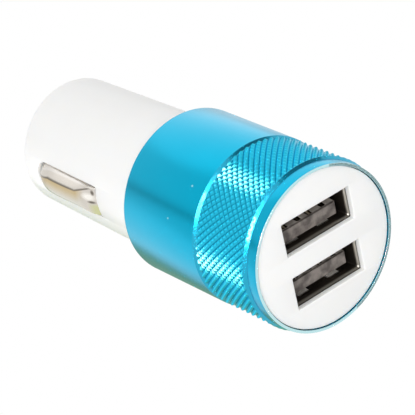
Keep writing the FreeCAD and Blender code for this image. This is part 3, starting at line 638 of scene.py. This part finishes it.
white_moulding, place, shader = finish(
    "white moulding",
    (0.93, 0.93, 0.915),
    0.30,
    IOR=1.49,
    Subsurface_Weight=0.35,
    Subsurface_Radius=(1.0, 0.92, 0.80),
    Subsurface_Scale=0.0009,
)
mottle = noise(place, 140, 140, 140)
orange_peel = noise(place, 1500, 1500, 1500, 2.0)
feed(
    shader,
    Base_Color=mottle.blend((0.915, 0.915, 0.900), (0.945, 0.945, 0.930)),
    Roughness=0.27 + orange_peel * 0.07,
    Normal=bump(orange_peel, 1.5e-6),
)

plate_radius = 11.84
plate_front = 0.25
plate_back = 1.85
port_width = 12.40
port_height = 5.15
port_middles = (4.30, -4.30)
port_corner = 0.12
seat_level = 1.10
seat_width = 13.2
seat_height = 5.82
seat_corner = 0.30
rim_round = 0.10
port_round = 0.15
quarter = [math.pi / 2 * step / 4 for step in range(5)]
rim_rows = [
    ring(plate_radius - rim_round * (1 - math.sin(a)), plate_front + rim_round * (1 - math.cos(a)), 160)
    for a in quarter
] + [ring(plate_radius, plate_back, 160)]
plate_skins = [skin(rim_rows)]
port_fronts, port_backs = [], []
for middle in port_middles:
    port_rows = []
    for a in quarter:
        spread = port_round * (1 - math.sin(a))
        level = plate_front + port_round * (1 - math.cos(a))
        width, height = port_width + 2 * spread, port_height + 2 * spread
        port_rows.append(oblong(0, middle, width, height, port_corner + spread, level))
    port_rows.append(oblong(0, middle, port_width, port_height, port_corner, seat_level))
    port_rows.append(oblong(0, middle, seat_width, seat_height, seat_corner, seat_level))
    port_rows.append(oblong(0, middle, seat_width, seat_height, seat_corner, plate_back))
    plate_skins.append(skin(port_rows))
    port_fronts.append(port_rows[0])
    port_backs.append(port_rows[-1])
plate_skins.append(cover(rim_rows[0], *port_fronts))
plate_skins.append(cover(rim_rows[-1], *port_backs))
lug_root = 1.80
lug_length = 2.55
lug_half = 2.0
lug_inside = 9.20
lug_outside = 10.0
for side in (1, -1):
    near, far = side * lug_inside, side * lug_outside
    lug = [(near, -lug_half, lug_root), (far, -lug_half, lug_root)]
    lug += [(far, lug_half, lug_root), (near, lug_half, lug_root)]
    plate_skins.append(prism(lug, (0, 0, lug_length)))
face_plate = solid("moulded_face", *plate_skins, crease=35)
face_plate.data.materials.append(white_moulding)
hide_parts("face_plate")
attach(face_plate, "housing")


# Barrel. The plug's white housing, moulded in one piece with the head inside the sleeve. The plug tapers
# for its mould, its end is rounded, and a slot on each side lets a contact through.


def cut_out(target, cutter):
    """Takes a cutter out of a solid."""
    modifier = target.modifiers.new("cut", "BOOLEAN")
    modifier.operation = "DIFFERENCE"
    modifier.solver = "EXACT"
    modifier.object = cutter
    name = target.name
    result = plain(target, name)
    bpy.data.objects.remove(cutter)
    return result


head_radius = 11.50
head_bore = 10.30
head_front = 1.85
ledge_level = 15.80
neck_bore = 9.60
neck_end = 28.20
plug_root = 29.60
plug_root_radius = 10.75
plug_tip = 60.25
plug_tip_radius = 10.20
plug_bore = 9.00
end_wall_inside = 58.05
pin_hole = 3.60
barrel_outline = rounded(
    [
        (head_bore, head_front),
        (head_radius, head_front, 0.20),
        (head_radius, plug_root, 0.30),
        (plug_root_radius, plug_root, 0.20),
        (plug_tip_radius, plug_tip, 0.60),
        (pin_hole, plug_tip, 0.15),
        (pin_hole, end_wall_inside),
        (plug_bore, end_wall_inside, 0.40),
        (plug_bore, neck_end),
        (neck_bore, neck_end),
        (neck_bore, ledge_level),
        (head_bore, ledge_level),
    ],
    6,
)
barrel = solid(
    "moulded_barrel",
    skin([ring(radius, height, 256) for radius, height in barrel_outline + barrel_outline[:1]]),
)
slot_half = 2.65
slot_start = 40.25
slot_end = 56.50
slot_round = 2.60
past_wall = 13.0
slot_outline = [
    Vector((-past_wall, y_place, z_place))
    for y_place, z_place in rounded(
        [
            (-slot_half, slot_start, 0.12),
            (slot_half, slot_start, 0.12),
            (slot_half, slot_end, slot_round),
            (-slot_half, slot_end, slot_round),
        ],
        10,
    )
]
barrel = cut_out(barrel, solid("slot_cutter", prism(slot_outline, (2 * past_wall, 0, 0))))
softened = barrel.modifiers.new("soft edges", "BEVEL")
softened.width = 0.09 * mm
softened.segments = 2
softened.limit_method = "ANGLE"
softened.angle_limit = math.radians(60)
barrel = plain(barrel, "moulded_barrel")
settle(barrel.data, 32)
barrel.data.materials.clear()
barrel.data.materials.append(white_moulding)
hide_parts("barrel")
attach(barrel, "housing")
rail_inside = 6.70
rail_outside = 9.65
rail_near = 0.70
rail_far = 1.70
rail_start = 16.8
rail_length = 19.2
rails = []
for side in (1, -1):
    for face in (1, -1):
        rail = [
            (side * rail_inside, face * rail_near, rail_start),
            (side * rail_outside, face * rail_near, rail_start),
            (side * rail_outside, face * rail_far, rail_start),
            (side * rail_inside, face * rail_far, rail_start),
        ]
        rails.append(prism(rail, (0, 0, rail_length)))
rail_set = solid("board_rails", *rails)
rail_set.data.materials.append(white_moulding)
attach(rail_set, "housing")


# Side contacts. Each is stamped from nickel plated spring sheet as a hollow bow with sloping sides, a ramp at
# the sleeve's end and a rounded end at the tip. Ears hold it in, and a tail presses on the board's edge.

nickel, place, shader = finish("polished nickel", (0.80, 0.76, 0.70), 0.14, 1.0)
rubbing = noise(place, 2600, 2600, 240, 4.0)
tarnish = noise(place, 420, 420, 420, 3.0)
x, y, z = place.axes()
across = y * place.math("SIGN", x)
ramp_spread = z.ramp(41.6 * mm, 44.8 * mm, 0.95 * mm, 0.0)
tip_narrowing = z.ramp(52.0 * mm, 55.0 * mm, 0.0, 0.70 * mm)
from_edge = across - (ramp_spread - tip_narrowing + 1.27 * mm)
on_bow = place.math("ABSOLUTE", x).ramp(10.55 * mm, 10.75 * mm)
# Painted reflection: a dark line along the edge of the bow's crest
painted_edge_reflection = on_bow * place.math("ABSOLUTE", from_edge).ramp(0.20 * mm, 0.04 * mm)
on_crest = on_bow * from_edge.ramp(0.02 * mm, -0.05 * mm)
# Painted reflection: past the ramp the crest takes a grey tone that turns gold towards its edge
painted_gold_reflection = on_crest * from_edge.ramp(-2.1 * mm, -0.5 * mm)
past_ramp = z.ramp(42.6 * mm, 44.6 * mm)
# Painted reflection at the nose: a bright highlight patch with two dark patches beside it
nose_reflection_patches = []
for patch_height, patch_across, half_length, half_width in (
    (41.05, 1.55, 0.40, 0.60),
    (41.55, -0.15, 0.95, 0.30),
    (41.95, 0.72, 1.60, 0.85),
):
    rise = (z - patch_height * mm) / (half_length * mm)
    slide = (across - patch_across * mm) / (half_width * mm)
    from_patch = z.math("SQRT", rise * rise + slide * slide)
    nose_reflection_patches.append(from_patch.ramp(1.0, 0.35))
painted_dark_spots = place.math("MAXIMUM", nose_reflection_patches[0], nose_reflection_patches[1])
# Painted reflection: a brassy tone low on the heel, towards one side
heel = z.ramp(42.6 * mm, 41.2 * mm)
painted_heel_reflection = heel * across.ramp(-0.3 * mm, -0.9 * mm)
plated = tarnish.blend((0.60, 0.56, 0.50), (0.69, 0.65, 0.60))
crest_reflection_tone = painted_gold_reflection.blend((0.53, 0.52, 0.46), (0.44, 0.34, 0.17))
# Painted reflection: the flank turns lighter towards the bow's foot
painted_light_at_foot = place.math("ABSOLUTE", x).ramp(10.50 * mm, 10.25 * mm)
flank = painted_light_at_foot.blend(plated, (0.72, 0.69, 0.65))
toned = (on_crest * past_ramp * (tarnish * 0.3 + 0.75)).blend(flank, crest_reflection_tone)
painted_nose_highlight = (0.95, 0.92, 0.86)
brassy_heel_reflection = (0.62, 0.63, 0.36)
# The dark tone of the painted reflections at the crest's edge and beside the nose
painted_dark_reflection = (0.10, 0.08, 0.06)
heel_toned = painted_heel_reflection.blend(nose_reflection_patches[2].blend(toned, painted_nose_highlight), brassy_heel_reflection)
feed(
    shader,
    Base_Color=place.math("MAXIMUM", painted_edge_reflection * 0.82, painted_dark_spots * 0.85).blend(heel_toned, painted_dark_reflection),
    Roughness=0.20 + rubbing * 0.08,
    Normal=bump(rubbing, 1.5e-6),
)

# Along the bow: share of its length and of its bulge, then the crest's and the foot's share of half its width
bow_start = 40.45
bow_length = 15.70
bow_base = 9.30
bow_surface = 10.20
bow_bulge = 1.50
bow_half = 2.50
bow_sheet = 0.35
bow_stations = [
    (0.00, 0.08, 0.92, 1.00),
    (0.02, 0.18, 0.92, 1.00),
    (0.05, 0.30, 0.92, 1.00),
    (0.10, 0.47, 0.88, 1.00),
    (0.16, 0.64, 0.77, 1.00),
    (0.23, 0.82, 0.61, 1.00),
    (0.33, 0.94, 0.53, 1.00),
    (0.52, 1.00, 0.52, 1.00),
    (0.70, 0.96, 0.51, 1.00),
    (0.79, 0.88, 0.47, 1.00),
    (0.86, 0.70, 0.38, 1.00),
    (0.92, 0.46, 0.29, 0.94),
    (0.96, 0.24, 0.21, 0.80),
    (1.00, 0.05, 0.12, 0.47),
]
tail_half = 1.8
tail_outline = [
    (9.65, 40.45),
    (8.65, 40.45),
    (7.65, 38.65),
    (7.47, 37.05),
    (7.12, 37.05),
    (7.21, 38.83),
    (8.30, 40.80),
    (9.65, 40.80),
]
ear_start = 50.1
ear_length = 4.0
ear_outline = [(7.65, 2.15), (7.65, 3.20), (8.00, 3.20), (8.00, 2.50), (9.60, 2.50), (9.60, 2.15)]
for side, body, node in ((1, "side_right", "side_contact_right"), (-1, "side_left", "side_contact_left")):
    cage, cells = [], []
    for along, crest_share, crest_width, foot_width in bow_stations:
        height = bow_start + bow_length * along
        crest = bow_surface + bow_bulge * crest_share
        crest_half = bow_half * crest_width
        foot_half = bow_half * foot_width
        lean = (crest_half - foot_half) / (crest - bow_base)
        drop = 0.16 * crest_share
        half_section = [
            (bow_base, foot_half),
            (bow_base + (crest - bow_base) * 0.5, foot_half + lean * (crest - bow_base) * 0.5),
            (crest - drop - 0.14, crest_half - lean * (drop + 0.10)),
            (crest - drop, crest_half),
            (crest - drop * 0.7, crest_half * 0.86),
            (crest - drop * 0.2, crest_half * 0.45),
        ]
        section = [(reach, -half) for reach, half in half_section] + [(crest, 0.0)]
        section += [(reach, half) for reach, half in reversed(half_section)]
        cage.extend((reach, half, height) for reach, half in section)
    across = len(section)
    for row in range(len(bow_stations) - 1):
        for column in range(across - 1):
            a = row * across + column
            cells.append((a, a + 1, a + across + 1, a + across))
    mesh = bpy.data.meshes.new("bow")
    mesh.from_pydata([Vector(point) * mm for point in cage], [], cells)
    bow = bpy.data.objects.new("bow", mesh)
    scene.collection.objects.link(bow)
    wall = bow.modifiers.new("sheet", "SOLIDIFY")
    wall.thickness = bow_sheet * mm
    wall.offset = -1.0
    wall.use_even_offset = True
    smooth = bow.modifiers.new("smooth", "SUBSURF")
    smooth.levels = 2
    smooth.render_levels = 2
    bow = plain(bow, "bow")
    bow_points = [point.co / mm for point in bow.data.vertices]
    pieces = [(bow_points, [tuple(cell.vertices) for cell in bow.data.polygons])]
    bpy.data.objects.remove(bow)
    tail = [(reach, -tail_half, level) for reach, level in tail_outline]
    pieces.append(prism(tail, (0, 2 * tail_half, 0)))
    for edge in (1, -1):
        ear = [(reach, edge * aside, ear_start) for reach, aside in ear_outline]
        pieces.append(prism(ear, (0, 0, ear_length)))
    if side < 0:
        pieces = [([Vector((-p[0], -p[1], p[2])) for p in points], faces) for points, faces in pieces]
    contact = solid(f"{node}_stamping", *pieces, crease=40)
    contact.data.materials.append(nickel)
    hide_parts(node)
    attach(contact, body)


# Tip contact. A turned and nickel plated pin with a flange behind the barrel's end wall, pushed out by a
# wound steel spring that stands in a brass cup on the end of the board.

stub_radius = 2.2
stub_start = 55.5
flange_radius = 5.0
flange_start = 57.0
flange_end = 58.0
pin_radius = 3.5
pin_end = 63.75
dome_round = 2.2
pin_outline = rounded(
    [
        (0.0, stub_start),
        (stub_radius, stub_start, 0.15),
        (stub_radius, flange_start),
        (flange_radius, flange_start, 0.10),
        (flange_radius, flange_end, 0.10),
        (pin_radius, flange_end),
        (pin_radius, pin_end, dome_round),
        (0.0, pin_end),
    ],
    8,
)
tip = solid("turned_tip_pin", skin([ring(radius, height, 96) for radius, height in pin_outline]))
tip_plate, place, shader = finish("plated pin", (0.78, 0.76, 0.72), 0.2, 1.0)
lathe_lines = noise(place, 40, 40, 6000, 2.0)
wear = noise(place, 700, 700, 700, 4.0)
feed(
    shader,
    Base_Color=wear.blend((0.70, 0.67, 0.62), (0.82, 0.80, 0.77)),
    Roughness=0.15 + lathe_lines * 0.12,
    Normal=bump(lathe_lines, 2e-6),
)
tip.data.materials.append(tip_plate)
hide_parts("tip_contact")
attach(tip, "tip")

steel_wire, place, shader = finish("spring wire", (0.60, 0.60, 0.60), 0.32, 1.0)
drawn = noise(place, 1800, 1800, 1800, 3.0)
feed(
    shader,
    Base_Color=drawn.blend((0.52, 0.52, 0.53), (0.66, 0.66, 0.65)),
    Roughness=0.26 + drawn * 0.12,
)
spring_tree, given = node_tree("wound spring", "Start", ["Wire", "Mean radius", "Height", "Turns", "Foot"])
coil = given["Start"].node(
    "GeometryNodeCurveSpiral",
    {
        "Resolution": 48,
        "Rotations": given["Turns"],
        "Start Radius": given["Mean radius"],
        "End Radius": given["Mean radius"],
        "Height": given["Height"],
    },
)
wire_section = {"Resolution": 12, "Radius": given["Wire"] / 2}
section = coil.node("GeometryNodeCurvePrimitiveCircle", wire_section, mode="RADIUS")
tube = coil.node("GeometryNodeCurveToMesh", {"Curve": coil, "Profile Curve": section, "Fill Caps": True})
raised = tube.node(
    "GeometryNodeTransform",
    {"Geometry": tube, "Translation": tube.node("ShaderNodeCombineXYZ", {2: given["Foot"]})},
)
close_tree(raised, given["Finish"])
spring_start = solid("spring_start", prism([(0, 0, 51), (0.1, 0, 51), (0, 0.1, 51)], (0, 0, 0.1)))
spring = grow(
    spring_start,
    spring_tree,
    "wound_tip_spring",
    **{
        "Wire": 0.45 * mm,
        "Mean radius": 2.95 * mm,
        "Height": 5.8 * mm,
        "Turns": 5.0,
        "Foot": 50.95 * mm,
        "Finish": steel_wire,
    },
)
settle(spring.data, 40)
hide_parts("tip_spring")
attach(spring, "housing")
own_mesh(spring)

brass, place, shader = finish("turned brass", (0.78, 0.60, 0.28), 0.25, 1.0)
turned_marks = noise(place, 60, 60, 5000, 2.0)
feed(
    shader,
    Base_Color=turned_marks.blend((0.70, 0.53, 0.24), (0.82, 0.65, 0.34)),
    Roughness=0.20 + turned_marks * 0.12,
)
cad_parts["spring_seat"].material_slots[0].material = brass


# USB sockets. In each a folded and plated steel shell holds a dark moulded insulator, whose tongue carries
# four gilt spring contacts on its upper face. The shell's spring fingers press in from both wide walls.

plated_steel, place, shader = finish("plated shell", (0.66, 0.64, 0.61), 0.30, 1.0)
rolling = noise(place, 300, 300, 2600, 3.0)
x, y, height = place.axes()
# Painted light and shade: the shell is dark all over but for a light strip on the mouth's lead-in, lighter on
# the narrow side walls than on the wide ones
past_edge = height.ramp(1.52 * mm, 1.58 * mm)
before_inside = height.ramp(2.15 * mm, 1.80 * mm)
lighter_on_side_walls = place.math("ABSOLUTE", x).ramp(6.10 * mm, 6.24 * mm, 0.30, 1.0)
painted_lip_light = rolling.blend((0.80, 0.76, 0.68), (0.94, 0.91, 0.84))
feed(
    shader,
    Base_Color=(past_edge * before_inside * lighter_on_side_walls).blend((0.13, 0.115, 0.10), painted_lip_light),
    Roughness=0.26 + rolling * 0.12,
    Normal=bump(rolling, 1e-6),
)
finger_steel, place, shader = finish("finger steel", (0.66, 0.64, 0.61), 0.34, 0.7)
brushing = noise(place, 900, 900, 900, 3.0)
feed(
    shader,
    Base_Color=brushing.blend((0.70, 0.66, 0.62), (0.92, 0.89, 0.84)),
    Roughness=0.44 + brushing * 0.12,
)
dark_nylon, place, shader = finish("dark nylon", (0.15, 0.125, 0.112), 0.45)
speckle = noise(place, 2200, 2200, 2200, 3.0)
clouding = noise(place, 720, 720, 300, 2.5).ramp(0.38, 0.64)
# Painted light: behind the tongue's front the insulator is coloured far lighter than at its front, to
# brighten the shaded inside of the socket
painted_light_behind_nose = place.axes()[2].ramp(2.95 * mm, 3.15 * mm)
nose_tone = clouding.blend((0.085, 0.072, 0.065), (0.24, 0.21, 0.19))
feed(
    shader,
    Base_Color=painted_light_behind_nose.blend(nose_tone, clouding.blend((0.28, 0.25, 0.23), (0.66, 0.61, 0.56))),
    Roughness=0.38 + speckle * 0.15,
    Normal=bump(speckle, 2e-6),
)
gilt, place, shader = finish("gilt contact", (0.83, 0.66, 0.36), 0.22, 1.0)
patina = noise(place, 1500, 1500, 1500, 3.0)
from_axis = place.math("ABSOLUTE", place.axes()[0])
from_strip = place.math(
    "MINIMUM", place.math("ABSOLUTE", from_axis - 1.0 * mm), place.math("ABSOLUTE", from_axis - 3.5 * mm)
)
# Painted shade: each strip is dark along both edges and keeps its gold only along its middle
unshaded_strip_middle = from_strip.ramp(0.20 * mm, 0.12 * mm)
shadowed = (0.10, 0.075, 0.05)
feed(
    shader,
    Base_Color=unshaded_strip_middle.blend(shadowed, patina.blend((0.86, 0.78, 0.62), (0.95, 0.90, 0.78))),
    Roughness=0.17 + patina * 0.12,
)
shell_front = 1.10
shell_back = 14.60
finger_middles = (2.85, -2.85)
finger_half = 0.95
finger_root = 3.20
finger_crown = 5.24
finger_end = 8.30
finger_rise = 0.50
shell_half = 6.25
shell_wall = 2.56
outer_half = 6.55
outer_wall = 2.86
shell_sheet = 0.30
past_shell = 4.0
window_play = 0.2
leg_half = 0.8
leg_root = 14.5
leg_length = 1.8
tongue_gap = 0.65
tongue_thickness = 1.84
groove_depth = 0.50
groove_play = 0.05


def shell_rows(middle):
    """The folded tube from its outside over the widened mouth to its inside: half sizes, corner and level."""
    rows = [
        (outer_half, outer_wall, 0.50, shell_back),
        (outer_half, outer_wall, 0.50, 1.25),
        (6.52, 2.83, 0.48, 1.15),
        (6.52, 2.83, 0.46, shell_front),
        (6.50, 2.81, 0.44, 1.12),
        (6.50, 2.81, 0.44, 1.46),
        (6.27, 2.58, 0.24, 1.76),
        (shell_half, shell_wall, 0.22, 1.80),
        (shell_half, shell_wall, 0.22, shell_back),
    ]
    return [oblong(0, middle, 2 * width, 2 * height, *rest) for width, height, *rest in rows + rows[:1]]


def window_outline(middle):
    """The opening round a finger, as places across and along the shell."""
    reach = finger_half + window_play
    return rounded(
        [
            (middle - reach, finger_root),
            (middle + reach, finger_root),
            (middle + reach, finger_end + window_play, 0.3),
            (middle - reach, finger_end + window_play, 0.3),
        ]
    )


def finger_outline():
    """A spring finger from the side: its reach from the socket's middle, and its level."""
    inner = []
    for step in range(25):
        level = finger_root + (finger_end - finger_root) * step / 24
        if level < finger_crown:
            climb = (level - finger_root) / (finger_crown - finger_root)
            lift = finger_rise * (1 - math.cos(math.pi * climb)) / 2
        else:
            fall = (1 - math.cos(math.pi * (level - finger_crown) / (finger_end - finger_crown))) / 2
            lift = finger_rise * (1 - 0.75 * fall)
        inner.append((shell_wall - lift, level))
    inner.insert(0, (shell_wall, finger_root - shell_sheet))
    return inner + [(reach + shell_sheet, level) for reach, level in reversed(inner)]


strip_middles = (-3.5, -1.0, 1.0, 3.5)
strip_half = 0.45
strip_sheet = 0.25
strip_nose = 3.15
strip_bow = 5.65
strip_flat = 8.65
strip_tail = 16.30
strip_bulge = 0.55
for socket, centre, rise in (("upper", port_middles[0], 0.0), ("lower", port_middles[1], 0.40)):
    shell = solid(f"{socket}_shell_tube", skin(shell_rows(centre)))
    windows = [
        prism([(x, centre - past_shell, z) for x, z in window_outline(middle)], (0, 2 * past_shell, 0))
        for middle in finger_middles
    ]
    shell = cut_out(shell, solid("window_cutter", *windows))
    settle(shell.data, 40)
    shell.data.materials.clear()
    shell.data.materials.append(plated_steel)
    fingers = []
    for wall in (1, -1):
        for middle in finger_middles:
            outline = [(middle - finger_half, centre + wall * y, z) for y, z in finger_outline()]
            fingers.append(prism(outline, (2 * finger_half, 0, 0)))
        near, far = wall * shell_half, wall * outer_half
        leg = [(near, centre - leg_half, leg_root), (far, centre - leg_half, leg_root)]
        leg += [(far, centre + leg_half, leg_root), (near, centre + leg_half, leg_root)]
        fingers.append(prism(leg, (0, 0, leg_length)))
    spring_fingers = solid(f"{socket}_shell_fingers", *fingers, crease=40)
    spring_fingers.data.materials.append(finger_steel)
    for piece in (shell, spring_fingers):
        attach(piece, "housing")
    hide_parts(f"{socket}_shell")
    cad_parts[f"{socket}_insulator"].material_slots[0].material = dark_nylon
    tongue_top = centre - shell_wall + tongue_gap + tongue_thickness + rise
    floor_of_groove = tongue_top - groove_depth + groove_play
    under, over = [], []
    for step in range(25):
        level = strip_nose + (strip_flat - strip_nose) * step / 24
        if level < strip_bow:
            swing = (level - strip_nose) / (strip_bow - strip_nose)
        else:
            swing = (strip_flat - level) / (strip_flat - strip_bow)
        lift = strip_bulge * (1 - math.cos(math.pi * swing)) / 2
        under.append((floor_of_groove + lift, level))
        over.append((floor_of_groove + lift + strip_sheet, level))
    under.append((floor_of_groove, strip_tail))
    over.append((floor_of_groove + strip_sheet, strip_tail))
    for number, across in enumerate(strip_middles, start=1):
        outline = [(across - strip_half, rise_at, level) for rise_at, level in under + over[::-1]]
        strip = solid(f"{socket}_strip_{number}", prism(outline, (2 * strip_half, 0, 0)))
        strip.data.materials.append(gilt)
        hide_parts(f"{socket}_contact_{number}")
        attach(strip, "housing")


# Boards and converter. Two green boards at right angles carry the step-down converter's coil, chip,
# capacitors, diode and resistors. They are shut inside the barrel's head, so they are finished plainly.


def quiet(name, dark, light, roughness, metallic, grain, nodes):
    """A simple finish with a little grain for pieces inside the head."""
    material, place, shader = finish(name, light, roughness, metallic)
    mix = noise(place, grain, grain, grain)
    feed(shader, Base_Color=mix.blend(dark, light), Roughness=roughness - 0.04 + mix * 0.08)
    for node in nodes:
        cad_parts[node].material_slots[0].material = material


quiet("solder mask", (0.02, 0.16, 0.07), (0.04, 0.24, 0.11), 0.40, 0.0, 900, ("main_board", "port_board"))
quiet(
    "black epoxy",
    (0.02, 0.02, 0.02),
    (0.05, 0.05, 0.05),
    0.50,
    0.0,
    2500,
    ("regulator_chip", "flyback_diode"),
)
quiet("ferrite", (0.07, 0.07, 0.075), (0.13, 0.13, 0.135), 0.60, 0.0, 2500, ("inductor_core",))
quiet("enamelled copper", (0.55, 0.22, 0.09), (0.75, 0.36, 0.18), 0.28, 1.0, 1800, ("inductor_winding",))
quiet(
    "drawn can",
    (0.66, 0.67, 0.68),
    (0.80, 0.81, 0.82),
    0.25,
    1.0,
    700,
    ("input_capacitor", "output_capacitor"),
)
quiet("tan ceramic", (0.42, 0.31, 0.20), (0.56, 0.44, 0.30), 0.45, 0.0, 2500, ("ceramic_capacitor",))
quiet(
    "resistor glaze",
    (0.03, 0.03, 0.035),
    (0.07, 0.07, 0.075),
    0.35,
    0.0,
    2500,
    ("feedback_resistor_1", "feedback_resistor_2"),
)
